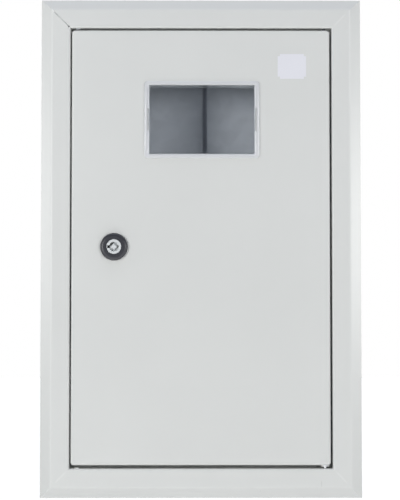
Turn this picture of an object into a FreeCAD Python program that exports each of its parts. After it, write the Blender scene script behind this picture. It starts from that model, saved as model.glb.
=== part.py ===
import FreeCAD, Part
import math
import os

from FreeCAD import Vector

# Flush-mounted electric meter box, in millimetres.
# X runs to the right, Y from the front into the wall, Z up.
# The origin is the middle of the back of the box, between the four wall fixing holes.

# Sheets and folds
frame_sheet = 1.2
door_sheet = 1.2
box_sheet = 1.0
bracket_sheet = 1.5
bend_radius = 1.0                # inside radius of the folds
crease_radius = 2.0              # inside radius of the shallow fold between bevel and flat

# Front frame: opening, bevelled border, and the return that ends in the door stop
opening_width = 261.2
opening_height = 439.0
border_width = 29.7
bevel_width = 10.9
bevel_depth = 10.0
stop_depth = 17.8                # front face to the stop lip behind the door
stop_lip = 9.0
seam_width = 0.4                 # closing seam in the upper left corner
seam_relief_radius = 0.8

# Back box
box_depth = 130.0                # front face of the frame to the back of the box
box_gap = 4.0                    # frame return to box wall
flange_clearance = 2.2           # end of the box flange to the bevel's crease
fixing_inset_x = 17.8            # box wall to wall fixing hole
fixing_inset_z = 29.7
fixing_hole_radius = 3.5
knockout_radius = 14.0
knockout_pitch = 60.0
knockout_count = 3
knockout_setback = 55.0          # back of the box to the knock-outs

# Door
gap_left = 1.4
gap_right = 2.0
gap_top = 2.1
gap_bottom = 3.3
door_recess = 0.3                # door face behind the frame face
door_corner_ease = 0.8           # door corners are rounder than its folds
stop_clearance = 3.3             # door fold to stop lip

# Hinge: pins in the frame, bushes in the door, plugs in the spare holes
pin_radius = 1.5
pin_clearance = 0.06
pin_seat_clearance = 0.03
pin_head = 1.4
pin_head_clearance = 0.3         # pin and plug heads to the frame's fold
bush_radius = 3.0
bush_wall_clearance = 1.3        # bush to the door's side fold
bush_face_clearance = 0.5        # bush to the door's front sheet
bush_length = 9.0                # inside the door's fold
bush_end = 1.0
bush_flange_radius = 4.2
bush_flange = 1.2                # lower bush only; it carries the door above the frame
bush_seat_clearance = 0.05
plug_head = 0.8
plug_shank = 2.6

# Window
window_drop = 90.0               # top edge of the door to the middle of the window
window_shift = 1.2               # middle of the door to the middle of the window
cutout_width = 107.0
cutout_height = 69.4
cutout_corner = 2.0
rim_overlap = 4.0
rim_corner = 3.4
rim_thickness = 2.2
rim_edge = 1.4
pane_inset = 3.2                 # rim's outer edge to the dished pane
pane_slope = 0.8
pane_dish = 0.8
skirt_clearance = 0.3
skirt_wall = 1.0
skirt_depth = 8.0
hook_span = 23.0
hook_reach = 1.3
hook_length = 3.4
hook_play = 0.2
hook_slit = 1.0
slit_start = 1.6
core_slot = 1.5                  # opening in the rim in front of each hook

# Lock
lock_inset = 42.6                # left edge of the door to the lock's axis
lock_below_middle = 0.35
lock_head_radius = 13.7
lock_head = 4.4
lock_head_edge = 3.4
barrel_radius = 10.9
barrel_flats = 20.0
barrel_clearance = 0.15
insert_radius = 7.5
insert_edge = 0.3                # chamfer round the insert's face
insert_set_back = 0.5
insert_head = 10.0
stem_radius = 6.0
turning_clearance = 0.06
socket_radius = 4.8
socket_depth = 3.6
key_square = 5.2
key_set_back = 0.4
key_edge = 0.8                   # chamfer round the tip of the square pin
key_angle = 40.0
pointer_width = 2.8
pointer_wall = 0.9               # metal left outside the pointer notch
pointer_depth = 5.0
lock_nut_flats = 27.0
lock_nut_height = 5.0
thread_clearance = 0.05
cam_gap = 0.6                    # stop lip to cam
cam_play = 0.3                   # barrel end to cam
cam_sheet = 2.5
cam_overlap = 7.0                # cam behind the stop lip when latched
cam_eye_radius = 9.5
cam_tip_width = 14.0
tang_square = 7.6
tang_clearance = 0.1
tang_set_back = 0.2
cam_bolt_radius = 3.0
cam_bolt_flats = 10.0
cam_bolt_head = 4.0
cam_bolt_depth = 10.0
cam_washer_radius = 7.0
cam_washer = 1.6

# Meter plate on weld studs
plate_rise = 33.5                # box back to the front of the plate
plate_shift = 4.5
plate_side_gap = 27.0
plate_top_gap = 14.7
plate_foot = 14.0
breaker_room = 95.0              # mounting rail to the lower edge of the plate
meter_slot_length = 88.0
meter_slot_width = 4.5
meter_slot_drop = 78.0           # top of the plate to the middle of the upright slot
lower_slot_length = 25.0
lower_slot_spacing = 104.0
lower_slot_rise = 30.0
stud_radius = 2.0
stud_length = 8.0
stud_end_gap = 22.0
stud_clearance = 0.2
stud_nut_flats = 7.0
stud_nut = 3.2

# Mounting rail for breakers
rail_height = 139.7              # bottom of the box to the middle of the rail
rail_end_gap = 20.0
rail_width = 35.0
rail_inner_width = 25.0
rail_depth = 7.5
rail_sheet = 1.0
rail_slot_pitch = 25.0
rail_slot_length = 15.0
rail_slot_width = 6.2
bracket_rise = 30.0
bracket_top = 24.0
bracket_foot = 10.0
bracket_length = 30.0
rail_screw_radius = 2.5
rail_screw_head_radius = 4.5
rail_screw_head = 2.6
rail_screw_length = 12.0

# Neutral and earth bars
bar_height = 55.0                # bottom of the box to the middle of the bars
bar_gap = 43.0                   # between the two bars
bar_section_z = 9.0
bar_section_y = 10.0
wire_count = 6
wire_hole_radius = 2.25
wire_axis = 4.2                  # back of the bar to the middle of the wire holes
clamp_screw_radius = 1.9
clamp_head_radius = 2.9
clamp_head = 2.4
clamp_lift = 2.0                 # bar to the heads of the open clamp screws
clamp_head_gap = 3.2
post_inset = 5.0                 # end of the bar to the middle of its post
post_rise = 18.0
post_radius = 5.0
insulator_radius = 7.0
insulator_waist = 5.6
bar_screw_radius = 2.0
bar_screw_head_radius = 3.5
bar_screw_head = 1.8
bar_screw_length = 16.0
screw_head_gap = 0.6
screw_slot_width = 0.8
screw_slot_depth = 0.7

# Earth studs on the box and on the door
earth_stud_radius = 3.0
earth_stud_length = 18.0
earth_stud_height = 26.0         # bottom of the box to the stud
earth_washer_radius = 6.0
earth_washer = 1.6
earth_nut_flats = 10.0
earth_nut = 5.0
door_stud_length = 14.0
door_stud_inset = 30.0           # door edges to the stud
door_stud_rise = 40.0

# Planes and edges that the pieces share
front = -box_depth
opening_right = opening_width / 2
opening_top = opening_height / 2
wall_offset = frame_sheet + box_gap
inner_right = opening_right + wall_offset
inner_top = opening_top + wall_offset
back_inside = -box_sheet

door_left = -opening_right + gap_left
door_right = opening_right - gap_right
door_bottom = -opening_top + gap_bottom
door_top = opening_top - gap_top
door_front = front + door_recess
door_inside = door_front + door_sheet
door_rear = front + stop_depth - stop_clearance

hinge_x = door_right - door_sheet - bush_wall_clearance - bush_radius
hinge_y = door_inside + bush_face_clearance + bush_radius
hinge_head_radius = hinge_y - front - frame_sheet - bend_radius - pin_head_clearance

window_x = (door_left + door_right) / 2 + window_shift
window_z = door_top - window_drop
skirt_width = cutout_width - 2 * skirt_clearance
skirt_height = cutout_height - 2 * skirt_clearance

lock_x = door_left + lock_inset
lock_z = (door_bottom + door_top) / 2 - lock_below_middle
lock_face = door_front - lock_head
insert_face = lock_face + insert_set_back
insert_shoulder = insert_face + insert_head
cam_front = front + stop_depth + frame_sheet + cam_gap
cam_back = cam_front + cam_sheet
barrel_end = cam_front - cam_play

rail_z = -inner_top + rail_height
plate_top = inner_top - plate_top_gap
plate_bottom = rail_z + breaker_room
plate_front = back_inside - plate_rise
plate_half = inner_right - plate_side_gap - plate_foot
bar_z = -inner_top + bar_height
bar_back = back_inside - post_rise
bar_front = bar_back - bar_section_y
wire_y = bar_back - wire_axis
wire_pitch = 2 * clamp_head_radius + clamp_head_gap
bar_end = post_inset + bar_screw_head_radius + screw_head_gap + clamp_head_radius
bar_length = 2 * bar_end + (wire_count - 1) * wire_pitch


def cylinder_y(radius, y_low, y_high, x, z):
    """Round bar that runs from front to back."""
    return Part.makeCylinder(radius, y_high - y_low, Vector(x, y_low, z), Vector(0, 1, 0))


def cylinder_z(radius, z_low, z_high, x, y):
    """Upright round bar."""
    return Part.makeCylinder(radius, z_high - z_low, Vector(x, y, z_low))


def block(x_low, x_high, y_low, y_high, z_low, z_high):
    """Plain block between two corners."""
    corner = Vector(x_low, y_low, z_low)
    return Part.makeBox(x_high - x_low, y_high - y_low, z_high - z_low, corner)


def edges_along_y(solid):
    """Straight edges that run from front to back."""
    return [edge for edge in solid.Edges if edge.BoundBox.YLength > edge.Length * 0.99]


def slab(width, height, corner, y_low, y_high, x, z):
    """Plate parallel to the front, with rounded corners."""
    plate = block(x - width / 2, x + width / 2, y_low, y_high, z - height / 2, z + height / 2)
    return plate.makeFillet(corner, edges_along_y(plate))


def round_front(solid, radius):
    """Round the outer edge of the solid's foremost face."""
    y_low = solid.BoundBox.YMin
    rim = [edge for edge in solid.Edges if edge.BoundBox.YMax < y_low + radius / 100]
    return solid.makeFillet(radius, rim)


def chamfer_front(solid, size):
    """Chamfer the outer edge of the solid's foremost face."""
    y_low = solid.BoundBox.YMin
    rim = [edge for edge in solid.Edges if edge.BoundBox.YMax < y_low + size / 100]
    return solid.makeChamfer(size, rim)


def hexagon_y(across_flats, y_low, y_high, x, z):
    """Hexagonal bar that runs from front to back."""
    reach = across_flats / math.sqrt(3)
    corners = []
    for step in range(7):
        angle = math.radians(60 * step)
        corners.append(Vector(x + reach * math.cos(angle), y_low, z + reach * math.sin(angle)))
    return Part.Face(Part.makePolygon(corners)).extrude(Vector(0, y_high - y_low, 0))


def obround(length, width, y_low, y_high, x, z, upright):
    """Cutter for a slot with round ends, through a wall that faces the front."""
    middle = Vector(x, y_low, z)
    along = Vector(0, 0, 1) if upright else Vector(1, 0, 0)
    across = Vector(1, 0, 0) if upright else Vector(0, 0, 1)
    run = along * ((length - width) / 2)
    side = across * (width / 2)
    tip = along * (length / 2)
    edges = [
        Part.LineSegment(middle - run + side, middle + run + side).toShape(),
        Part.Arc(middle + run + side, middle + tip, middle + run - side).toShape(),
        Part.LineSegment(middle + run - side, middle - run - side).toShape(),
        Part.Arc(middle - run - side, middle - tip, middle - run + side).toShape(),
    ]
    return Part.Face(Part.Wire(edges)).extrude(Vector(0, y_high - y_low, 0))


def turned(outline, x, z):
    """Solid turned about the front-to-back line through x and z, from (radius, y) points."""
    points = [Vector(x + radius, y, z) for radius, y in outline]
    face = Part.Face(Part.makePolygon(points + points[:1]))
    return face.revolve(Vector(x, 0, z), Vector(0, 1, 0), 360)


def right_of(run):
    """Unit vector to the right of a run in the section plane."""
    return Vector(run.y, -run.x, 0)


def path_edges(stops):
    """Edges through end points and bends; a bend is its start, middle and end."""
    edges = []
    for here, there in zip(stops, stops[1:]):
        if len(here) == 3:
            edges.append(Part.Arc(*here).toShape())
        edges.append(Part.LineSegment(here[-1], there[0]).toShape())
    return edges


def bent_strip(points, sheet, first_radius=bend_radius):
    """Section of a folded sheet in the XY plane, with the sheet to the right of the points."""
    radii = [first_radius] + [bend_radius] * (len(points) - 3)
    corners = [Vector(x, y, 0) for x, y in points]
    runs = [(b - a).normalize() for a, b in zip(corners, corners[1:])]
    near = [(corners[0],)]
    far = [(corners[0] + right_of(runs[0]) * sheet,)]
    for corner, before, after, inside in zip(corners[1:], runs, runs[1:], radii):
        turns_left = before.cross(after).z > 0
        near_radius = inside if turns_left else inside + sheet
        far_radius = inside + sheet if turns_left else inside
        reach = near_radius * math.tan(before.getAngle(after) / 2)
        start = corner - before * reach
        end = corner + after * reach
        inward = right_of(before) * (-1 if turns_left else 1)
        centre = start + inward * near_radius
        outward = (corner - centre).normalize()
        near.append((start, centre + outward * near_radius, end))
        far.append((start + right_of(before) * sheet, centre + outward * far_radius,
                    end + right_of(after) * sheet))
    near.append((corners[-1],))
    far.append((corners[-1] + right_of(runs[-1]) * sheet,))
    caps = [Part.LineSegment(near[0][0], far[0][0]).toShape(),
            Part.LineSegment(near[-1][0], far[-1][0]).toShape()]
    edges = Part.__sortEdges__(path_edges(near) + path_edges(far) + caps)
    return Part.Face(Part.Wire(edges))


def four_sided(section, half_width, half_height):
    """Run a section round a rectangle with mitred corners; section X is the way outwards."""
    limits = section.BoundBox
    sides = []
    for turn in range(4):
        across, along = (half_height, half_width) if turn % 2 else (half_width, half_height)
        reach = along + limits.XMax
        bar = section.translated(Vector(across, 0, -reach)).extrude(Vector(0, 0, 2 * reach))
        mitre = []
        for out, end in ((limits.XMin, -1), (limits.XMax, -1), (limits.XMax, 1), (limits.XMin, 1)):
            mitre.append(Vector(across + out, limits.YMin, end * (along + out)))
        wedge = Part.Face(Part.makePolygon(mitre + mitre[:1])).extrude(Vector(0, limits.YLength, 0))
        side = bar.common(wedge)
        side.rotate(Vector(0, 0, 0), Vector(0, 1, 0), -90 * turn)
        sides.append(side)
    return sides[0].multiFuse(sides[1:]).removeSplitter()


def hinge_holes():
    """Cutters for the hinge holes in the frame's upper and lower returns, both hands."""
    holes = []
    for x in (hinge_x, -hinge_x):
        for z_low in (opening_top - frame_sheet, -opening_top - 2 * frame_sheet):
            z_high = z_low + 3 * frame_sheet
            holes.append(cylinder_z(pin_radius + pin_seat_clearance, z_low, z_high, x, hinge_y))
    return holes


def make_front_frame():
    """Folded border: bevel, flat, return into the box and stop lip behind the door."""
    section = bent_strip([
        (border_width, front + bevel_depth),
        (border_width - bevel_width, front),
        (0, front),
        (0, front + stop_depth),
        (-stop_lip, front + stop_depth),
    ], frame_sheet, crease_radius)
    frame = four_sided(section, opening_right, opening_top)
    flat = border_width - bevel_width
    fold = bend_radius + frame_sheet
    seam = block(-seam_width / 2, seam_width / 2, front - frame_sheet, front + 2 * frame_sheet,
                 fold, flat * math.sqrt(2))
    seam.rotate(Vector(0, 0, 0), Vector(0, 1, 0), -45)
    seam.translate(Vector(-opening_right, 0, opening_top))
    relief_at = fold / math.sqrt(2)
    relief = cylinder_y(seam_relief_radius, front - frame_sheet, front + 2 * frame_sheet,
                        -opening_right - relief_at, opening_top + relief_at)
    return frame.cut([seam, relief] + hinge_holes())


def make_back_box():
    """Folded tray with a flange behind the frame, wall fixing holes and cable knock-outs."""
    back = back_inside
    strip = 3 * (bend_radius + box_sheet)
    flange_end = border_width - bevel_width - flange_clearance
    section = bent_strip([
        (flange_end, front + frame_sheet),
        (wall_offset, front + frame_sheet),
        (wall_offset, back),
        (wall_offset - strip, back),
    ], box_sheet)
    walls = four_sided(section, opening_right, opening_top)
    panel = block(strip - inner_right, inner_right - strip, back, back + box_sheet,
                  strip - inner_top, inner_top - strip)
    box = walls.fuse(panel).removeSplitter()
    holes = []
    for x in (fixing_inset_x - inner_right, inner_right - fixing_inset_x):
        for z in (fixing_inset_z - inner_top, inner_top - fixing_inset_z):
            holes.append(cylinder_y(fixing_hole_radius, back - box_sheet, back + 2 * box_sheet, x, z))
    box = box.cut(holes)
    shear = box_sheet / 2
    for end in (-1, 1):
        wall = end * inner_top
        for index in range(knockout_count):
            x = (index - (knockout_count - 1) / 2) * knockout_pitch
            inside = sorted((wall, wall + end * shear))
            outside = sorted((wall + end * box_sheet, wall + end * (box_sheet + shear)))
            dent = cylinder_z(knockout_radius, inside[0], inside[1], x, -knockout_setback)
            bulge = cylinder_z(knockout_radius, outside[0], outside[1], x, -knockout_setback)
            box = box.cut(dent).fuse(bulge)
    return box


def make_hinge_pin(end):
    """Headed pin through the frame's return into the door's bush; end is -1 below, 1 above."""
    return_outside = end * (opening_top + frame_sheet)
    bush_mouth = door_top if end > 0 else door_bottom
    tip = bush_mouth - end * (bush_length - bush_end)
    shank = sorted((tip, return_outside))
    head = sorted((return_outside, return_outside + end * pin_head))
    pin = cylinder_z(pin_radius, shank[0], shank[1], hinge_x, hinge_y)
    return pin.fuse(cylinder_z(hinge_head_radius, head[0], head[1], hinge_x, hinge_y)).removeSplitter()


def make_hinge_bush(end):
    """Bush in the door's fold with a blind bore for the pin; flanged below, flush with the fold above."""
    mouth, rise = (door_top, 0) if end > 0 else (door_bottom, bush_flange)
    body = sorted((mouth + end * rise, mouth - end * bush_length))
    bore = sorted((mouth + end * rise, mouth - end * (bush_length - bush_end)))
    bush = cylinder_z(bush_radius, body[0], body[1], hinge_x, hinge_y)
    if rise:
        flange = sorted((mouth, mouth + end * rise))
        bush = bush.fuse(cylinder_z(bush_flange_radius, flange[0], flange[1], hinge_x, hinge_y))
    bush = bush.cut(cylinder_z(pin_radius + pin_clearance, bore[0], bore[1], hinge_x, hinge_y))
    return bush.removeSplitter()


def make_spare_hinge_plugs():
    """Plugs in the hinge holes of the other hand."""
    plugs = []
    for end in (-1, 1):
        wall = end * opening_top
        head = sorted((wall, wall - end * plug_head))
        shank = sorted((wall, wall + end * plug_shank))
        plug = cylinder_z(hinge_head_radius, head[0], head[1], -hinge_x, hinge_y)
        plugs.append(plug.fuse(cylinder_z(pin_radius, shank[0], shank[1], -hinge_x, hinge_y)))
    return Part.makeCompound(plugs)


def lock_barrel(clearance, y_low, y_high):
    """Barrel of the lock with its two flats, or the hole for it with a clearance."""
    barrel = cylinder_y(barrel_radius + clearance, y_low, y_high, lock_x, lock_z)
    reach = barrel_radius + 2 * clearance
    half = barrel_flats / 2 + clearance
    keep = block(lock_x - reach, lock_x + reach, y_low, y_high, lock_z - half, lock_z + half)
    return barrel.common(keep)


def make_door_panel():
    """Folded pan with the window cut-out, the lock hole and the bush holes."""
    fold = bend_radius + door_sheet
    corner = fold + door_corner_ease
    width = door_right - door_left
    height = door_top - door_bottom
    x = (door_left + door_right) / 2
    z = (door_bottom + door_top) / 2
    outer = round_front(slab(width, height, corner, door_front, door_rear, x, z), fold)
    hollow = slab(width - 2 * door_sheet, height - 2 * door_sheet, corner - door_sheet,
                  door_inside, door_rear, x, z)
    pan = outer.cut(round_front(hollow, bend_radius))
    through = (door_front - door_sheet, door_inside + door_sheet)
    cuts = [slab(cutout_width, cutout_height, cutout_corner, through[0], through[1], window_x, window_z),
            lock_barrel(barrel_clearance, through[0], through[1])]
    for z_low in (door_bottom - door_sheet, door_top - 2 * door_sheet):
        z_high = z_low + 3 * door_sheet
        cuts.append(cylinder_z(bush_radius + bush_seat_clearance, z_low, z_high, hinge_x, hinge_y))
    return pan.cut(cuts)


def rounded_wire(width, height, corner, y):
    """Outline of a rectangle with rounded corners, parallel to the front."""
    outline = slab(width, height, corner, y, y + corner, window_x, window_z)
    face = min(outline.Faces, key=lambda side: side.CenterOfMass.y)
    return face.OuterWire


def window_hook(side):
    """Snap hook on one side wall of the skirt, with the slits that let it bend."""
    wall = window_x + side * skirt_width / 2
    catch = door_inside + hook_play
    corners = [Vector(wall, catch, 0), Vector(wall + side * hook_reach, catch, 0),
               Vector(wall, catch + hook_length, 0)]
    low = window_z - hook_span / 2
    wedge = Part.Face(Part.makePolygon(corners + corners[:1]))
    hook = wedge.translated(Vector(0, 0, low)).extrude(Vector(0, 0, hook_span))
    cuts = []
    across = sorted((wall + side * skirt_wall, wall - side * 2 * skirt_wall))
    for z_low in (low - hook_slit, low + hook_span):
        cuts.append(block(across[0], across[1], door_front + slit_start, door_front + 2 * skirt_depth,
                          z_low, z_low + hook_slit))
    slot = sorted((wall, wall + side * core_slot))
    cuts.append(block(slot[0], slot[1], door_front - 2 * rim_thickness, door_front, low, low + hook_span))
    return hook, cuts


def make_window():
    """Clear moulding: raised rim, dished pane, skirt through the door and two snap hooks."""
    rim_width = cutout_width + 2 * rim_overlap
    rim_height = cutout_height + 2 * rim_overlap
    rim_front = door_front - rim_thickness
    rim = slab(rim_width, rim_height, rim_corner, rim_front, door_front, window_x, window_z)
    window = round_front(rim, rim_edge)
    dish = []
    for inset, y in ((pane_inset, rim_front), (pane_inset + pane_slope, rim_front + pane_dish)):
        dish.append(rounded_wire(rim_width - 2 * inset, rim_height - 2 * inset, cutout_corner, y))
    window = window.cut(Part.makeLoft(dish, True, True))
    skirt_end = door_front + skirt_depth
    skirt = slab(skirt_width, skirt_height, cutout_corner, door_front, skirt_end, window_x, window_z)
    hollow = slab(skirt_width - 2 * skirt_wall, skirt_height - 2 * skirt_wall, cutout_corner / 2,
                  door_front, skirt_end, window_x, window_z)
    window = window.fuse(skirt.cut(hollow))
    for side in (-1, 1):
        hook, cuts = window_hook(side)
        window = window.cut(cuts).fuse(hook)
    return window.removeSplitter()


def make_lock_housing():
    """Domed head and threaded barrel, bored in two steps for the turning insert."""
    head = cylinder_y(lock_head_radius, lock_face, door_front, lock_x, lock_z)
    housing = round_front(head, lock_head_edge).fuse(lock_barrel(0, door_front, barrel_end))
    bore = cylinder_y(insert_radius + turning_clearance, lock_face, insert_shoulder, lock_x, lock_z)
    neck = cylinder_y(stem_radius + turning_clearance, insert_shoulder, barrel_end, lock_x, lock_z)
    return housing.cut([bore, neck])


def make_lock_nut():
    """Hexagon nut that clamps the housing to the door."""
    nut = hexagon_y(lock_nut_flats, door_inside, door_inside + lock_nut_height, lock_x, lock_z)
    hole = cylinder_y(barrel_radius + thread_clearance, door_inside, door_inside + lock_nut_height,
                      lock_x, lock_z)
    return nut.cut(hole)


def square_bar(width, y_low, y_high, angle):
    """Square bar on the lock's axis."""
    half = width / 2
    bar = block(lock_x - half, lock_x + half, y_low, y_high, lock_z - half, lock_z + half)
    return bar.rotated(Vector(lock_x, 0, lock_z), Vector(0, 1, 0), angle)


def make_lock_insert():
    """Turning insert: key recess with a square pin, pointer notch, stem and square tang."""
    socket_floor = insert_face + socket_depth
    head = cylinder_y(insert_radius, insert_face, insert_shoulder, lock_x, lock_z)
    insert = chamfer_front(head, insert_edge)
    insert = insert.fuse(cylinder_y(stem_radius, insert_shoulder, cam_front, lock_x, lock_z))
    insert = insert.fuse(square_bar(tang_square, cam_front, cam_back - tang_set_back, 0))
    insert = insert.cut(cylinder_y(socket_radius, insert_face, socket_floor, lock_x, lock_z))
    pin = square_bar(key_square, insert_face + key_set_back, socket_floor, key_angle)
    insert = insert.fuse(chamfer_front(pin, key_edge))
    notch_end = lock_x - insert_radius + pointer_wall
    notch = block(notch_end, lock_x - socket_radius + pointer_wall, insert_face,
                  insert_face + pointer_depth, lock_z - pointer_width / 2, lock_z + pointer_width / 2)
    thread = cylinder_y(cam_bolt_radius + thread_clearance, cam_back - cam_bolt_depth, cam_back,
                        lock_x, lock_z)
    return insert.cut([notch, thread]).removeSplitter()


def make_lock_cam():
    """Cam that hangs down when open and turns behind the stop lip when latched."""
    reach = lock_x - (-opening_right + stop_lip) + cam_overlap
    tip = cam_tip_width / 2
    low = lock_z - reach + tip
    eye = cylinder_y(cam_eye_radius, cam_front, cam_back, lock_x, lock_z)
    outline = [Vector(lock_x - cam_eye_radius, cam_front, lock_z), Vector(lock_x - tip, cam_front, low),
               Vector(lock_x + tip, cam_front, low), Vector(lock_x + cam_eye_radius, cam_front, lock_z)]
    arm = Part.Face(Part.makePolygon(outline + outline[:1])).extrude(Vector(0, cam_sheet, 0))
    end = cylinder_y(tip, cam_front, cam_back, lock_x, low)
    cam = eye.fuse([arm, end]).removeSplitter()
    return cam.cut(square_bar(tang_square + 2 * tang_clearance, cam_front, cam_back, 0))


def make_cam_washer():
    """Washer between the cam and its bolt."""
    washer = cylinder_y(cam_washer_radius, cam_back, cam_back + cam_washer, lock_x, lock_z)
    return washer.cut(cylinder_y(cam_bolt_radius + tang_clearance, cam_back, cam_back + cam_washer,
                                 lock_x, lock_z))


def make_cam_bolt():
    """Hexagon bolt that holds the cam on the insert's tang."""
    seat = cam_back + cam_washer
    shank = cylinder_y(cam_bolt_radius, cam_back - cam_bolt_depth, seat, lock_x, lock_z)
    return shank.fuse(hexagon_y(cam_bolt_flats, seat, seat + cam_bolt_head, lock_x, lock_z))


def hat_section(x, half_top, foot, rise):
    """Section of a hat-shaped bracket that stands on the back of the box."""
    foot_front = back_inside - bracket_sheet
    top_front = back_inside - rise
    return bent_strip([
        (x + half_top + foot, foot_front),
        (x + half_top, foot_front),
        (x + half_top, top_front),
        (x - half_top, top_front),
        (x - half_top, foot_front),
        (x - half_top - foot, foot_front),
    ], bracket_sheet)


def plate_stud_places():
    """Middles of the four weld studs under the meter plate's feet."""
    across = plate_half + (plate_foot + bend_radius) / 2
    places = []
    for x in (plate_shift - across, plate_shift + across):
        for z in (plate_bottom + stud_end_gap, plate_top - stud_end_gap):
            places.append((x, z))
    return places


def make_meter_plate():
    """Folded plate with an upright slot and two level slots for the meter's screws."""
    section = hat_section(plate_shift, plate_half, plate_foot, plate_rise)
    plate = section.translated(Vector(0, 0, plate_bottom)).extrude(Vector(0, 0, plate_top - plate_bottom))
    through = (plate_front - bracket_sheet, plate_front + 2 * bracket_sheet)
    cuts = [obround(meter_slot_length, meter_slot_width, through[0], through[1],
                    plate_shift, plate_top - meter_slot_drop, True)]
    for side in (-1, 1):
        cuts.append(obround(lower_slot_length, meter_slot_width, through[0], through[1],
                            plate_shift + side * lower_slot_spacing / 2, plate_bottom + lower_slot_rise,
                            False))
    for x, z in plate_stud_places():
        cuts.append(cylinder_y(stud_radius + stud_clearance, back_inside - 2 * bracket_sheet,
                               back_inside, x, z))
    return plate.cut(cuts)


def make_meter_plate_studs():
    """Weld studs on the back of the box."""
    studs = []
    for x, z in plate_stud_places():
        studs.append(cylinder_y(stud_radius, back_inside - stud_length, back_inside, x, z))
    return Part.makeCompound(studs)


def make_meter_plate_nuts():
    """Nuts that clamp the meter plate's feet."""
    nuts = []
    seat = back_inside - bracket_sheet
    for x, z in plate_stud_places():
        nut = hexagon_y(stud_nut_flats, seat - stud_nut, seat, x, z)
        nuts.append(nut.cut(cylinder_y(stud_radius + thread_clearance, seat - stud_nut, seat, x, z)))
    return Part.makeCompound(nuts)


def rail_layout():
    """Half length of the rail and the places of its slots, from end to end."""
    half = inner_right - rail_end_gap
    count = 2 * int((half - rail_slot_length / 2) / rail_slot_pitch + 0.5)
    return half, [(index - (count - 1) / 2) * rail_slot_pitch for index in range(count)]


def make_din_rail():
    """Top-hat mounting rail with slots along its middle."""
    half, slots = rail_layout()
    base_back = back_inside - bracket_rise
    lip_front = base_back - rail_depth
    base_front = base_back - rail_sheet
    inner = rail_inner_width / 2
    section = bent_strip([
        (rail_width / 2, lip_front),
        (inner, lip_front),
        (inner, base_front),
        (-inner, base_front),
        (-inner, lip_front),
        (-rail_width / 2, lip_front),
    ], rail_sheet)
    rail = section.translated(Vector(0, 0, -half)).extrude(Vector(0, 0, 2 * half))
    rail.rotate(Vector(0, 0, 0), Vector(0, 1, 0), 90)
    rail.translate(Vector(0, 0, rail_z))
    cuts = [obround(rail_slot_length, rail_slot_width, base_front - rail_sheet, base_back + rail_sheet,
                    x, rail_z, False) for x in slots]
    return rail.cut(cuts)


def bracket_place(side):
    """Middle of a rail bracket, behind the rail's end slot."""
    half, slots = rail_layout()
    return side * slots[-1]


def make_rail_bracket(side):
    """Hat-shaped stand-off under one end of the rail, with a hole for its screw."""
    x = bracket_place(side)
    section = hat_section(x, bracket_top / 2, bracket_foot, bracket_rise)
    low = rail_z - bracket_length / 2
    bracket = section.translated(Vector(0, 0, low)).extrude(Vector(0, 0, bracket_length))
    top = back_inside - bracket_rise
    return bracket.cut(cylinder_y(rail_screw_radius + thread_clearance, top - bracket_sheet,
                                  top + 2 * bracket_sheet, x, rail_z))


def slotted_screw(radius, head_radius, head, length, seat, x, z):
    """Screw with a round slotted head, driven in from the front; seat is under the head."""
    screw = cylinder_y(head_radius, seat - head, seat, x, z)
    screw = screw.fuse(cylinder_y(radius, seat, seat + length, x, z))
    half = screw_slot_width / 2
    slot = block(x - head_radius, x + head_radius, seat - head, seat - head + screw_slot_depth,
                 z - half, z + half)
    return screw.cut(slot)


def make_rail_screws():
    """Screws that hold the rail on its brackets."""
    seat = back_inside - bracket_rise - rail_sheet
    screws = []
    for side in (-1, 1):
        screws.append(slotted_screw(rail_screw_radius, rail_screw_head_radius, rail_screw_head,
                                    rail_screw_length, seat, bracket_place(side), rail_z))
    return Part.makeCompound(screws)


def bar_middle(side):
    """Middle of the earth bar (left) or the neutral bar (right)."""
    return side * (bar_gap + bar_length) / 2


def wire_places(side):
    """Places of the wire holes along a bar."""
    first = bar_middle(side) - (wire_count - 1) * wire_pitch / 2
    return [first + index * wire_pitch for index in range(wire_count)]


def post_places(side):
    """Places of the two posts, near the ends of a bar."""
    reach = bar_length / 2 - post_inset
    return [bar_middle(side) - reach, bar_middle(side) + reach]


def make_terminal_bar(side):
    """Brass bar with upright wire holes, clamp screw holes and two fixing holes."""
    middle = bar_middle(side)
    half = bar_section_z / 2
    bar = block(middle - bar_length / 2, middle + bar_length / 2, bar_front, bar_back,
                bar_z - half, bar_z + half)
    cuts = []
    for x in wire_places(side):
        cuts.append(cylinder_z(wire_hole_radius, bar_z - half, bar_z + half, x, wire_y))
        cuts.append(cylinder_y(clamp_screw_radius + thread_clearance, bar_front, wire_y, x, bar_z))
    for x in post_places(side):
        cuts.append(cylinder_y(bar_screw_radius + thread_clearance, bar_front, bar_back, x, bar_z))
    return bar.cut(cuts)


def make_clamp_screws(side):
    """Clamp screws, turned back so that the wire holes are free."""
    seat = bar_front - clamp_lift
    length = wire_y - wire_hole_radius - seat
    screws = []
    for x in wire_places(side):
        screws.append(slotted_screw(clamp_screw_radius, clamp_head_radius, clamp_head, length,
                                    seat, x, bar_z))
    return Part.makeCompound(screws)


def make_bar_screws(side):
    """Screws that hold a bar on its posts."""
    screws = []
    for x in post_places(side):
        screws.append(slotted_screw(bar_screw_radius, bar_screw_head_radius, bar_screw_head,
                                    bar_screw_length, bar_front, x, bar_z))
    return Part.makeCompound(screws)


def bar_screw_hole(x):
    """Cutter for the threaded hole in a post."""
    return cylinder_y(bar_screw_radius + thread_clearance, bar_back,
                      bar_front + bar_screw_length + bar_screw_radius, x, bar_z)


def make_earth_bar_posts():
    """Plain steel posts, welded to the back of the box."""
    posts = []
    for x in post_places(-1):
        post = cylinder_y(post_radius, bar_back, back_inside, x, bar_z)
        posts.append(post.cut(bar_screw_hole(x)))
    return Part.makeCompound(posts)


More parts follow.
